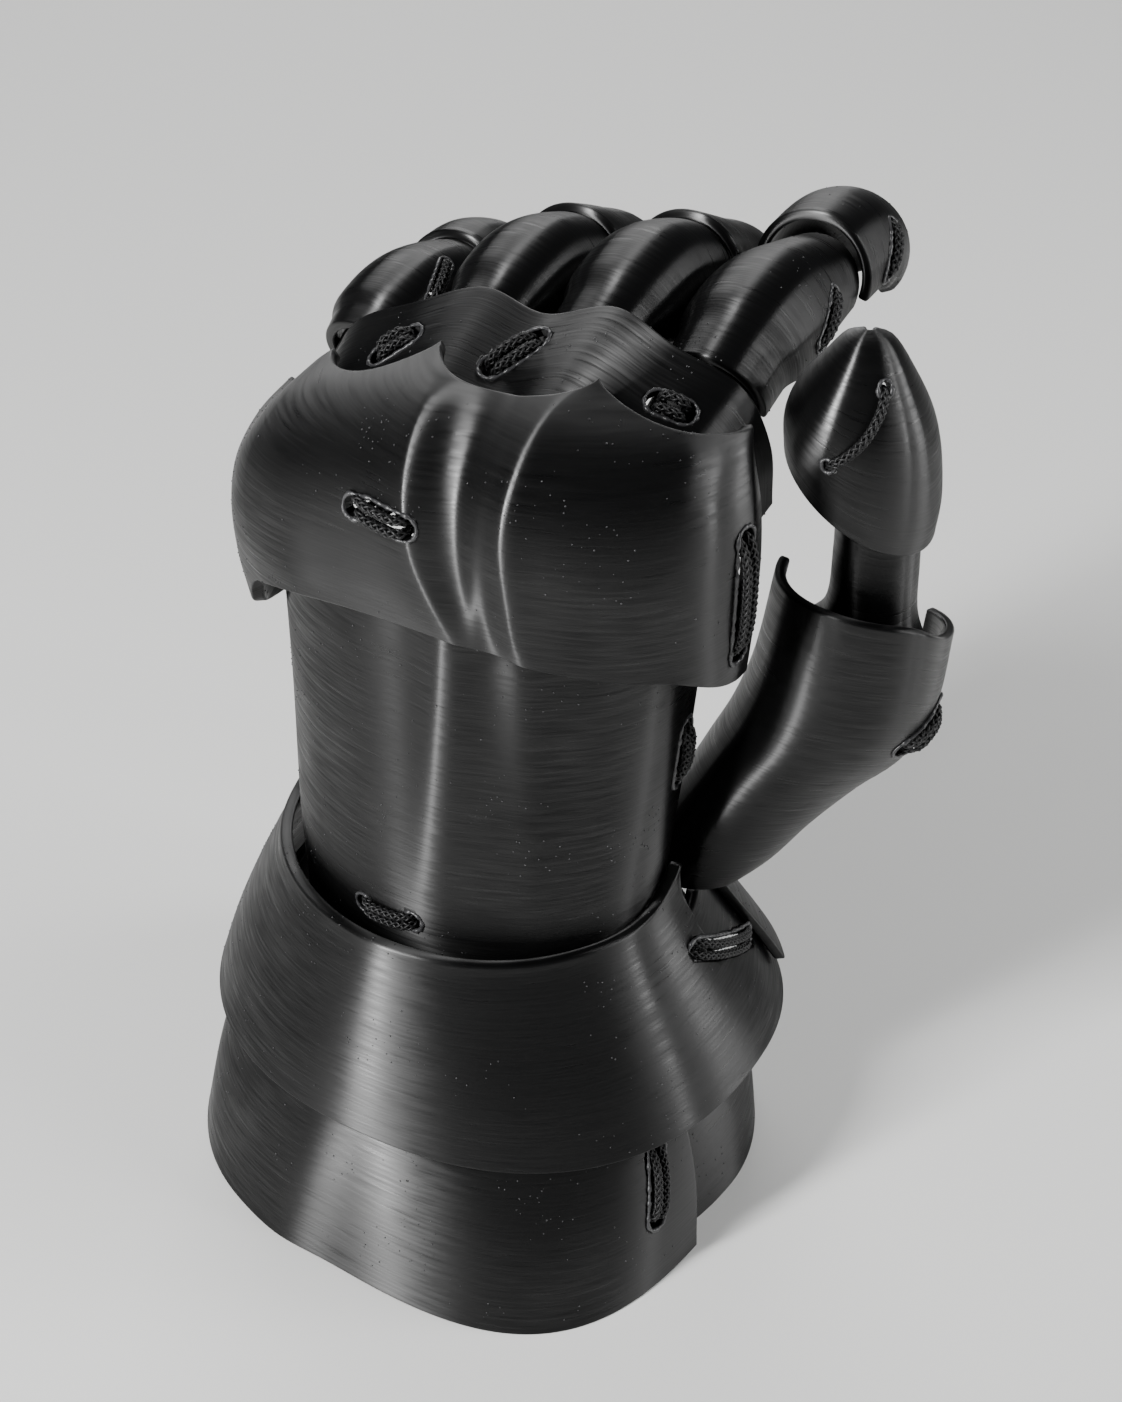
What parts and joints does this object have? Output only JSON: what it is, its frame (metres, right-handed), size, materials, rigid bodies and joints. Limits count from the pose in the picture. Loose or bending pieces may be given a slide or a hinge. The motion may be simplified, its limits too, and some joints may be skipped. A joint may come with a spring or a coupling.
{
  "type": "plate gauntlet",
  "caption": "Left-hand articulated plate gauntlet of printed plastic plates tied with braided cord, fingers half closed, standing on its cuff.",
  "frame": {"origin": "on the floor, under the middle of the whole gauntlet", "axes": "+Z from the cuff up to the fingers, -Y out of the back of the hand, +X towards the thumb, +Y the way the fingers point"},
  "size_m": [0.1578, 0.1682, 0.2145],
  "materials": {
    "printed_plastic": "near-black printed plastic with fine layer lines and a silky sheen",
    "braided_cord": "black braided cord, matt"
  },
  "bodies": {
    "root": {"cuff_lower_back": "printed_plastic", "cuff_lower_palm": "printed_plastic", "cuff_upper_back": "printed_plastic", "cuff_upper_palm": "printed_plastic", "hand_back": "printed_plastic", "knuckle_plate": "printed_plastic", "finger_root_plate": "printed_plastic", "thumb_base": "printed_plastic", "thumb_sleeve": "printed_plastic", "thumb_dome": "printed_plastic", "index_sleeve": "printed_plastic", "index_dome": "printed_plastic", "index_cap": "printed_plastic", "middle_sleeve": "printed_plastic", "middle_dome": "printed_plastic", "middle_cap": "printed_plastic", "ring_sleeve": "printed_plastic", "ring_dome": "printed_plastic", "ring_cap": "printed_plastic", "pinky_sleeve": "printed_plastic", "pinky_dome": "printed_plastic", "pinky_cap": "printed_plastic", "tie_wrist": "braided_cord", "tie_hand_edge": "braided_cord", "tie_cuff_side": "braided_cord", "tie_cuff_low": "braided_cord", "tie_knuckle_face": "braided_cord", "tie_knuckle_side": "braided_cord", "tie_root_pinky": "braided_cord", "tie_root_ring": "braided_cord", "tie_root_middle": "braided_cord", "tie_index_dome": "braided_cord", "tie_index_cap": "braided_cord", "tie_pinky_dome": "braided_cord", "tie_thumb_dome": "braided_cord", "tie_thumb_base": "braided_cord"}
  },
  "joints": []
}
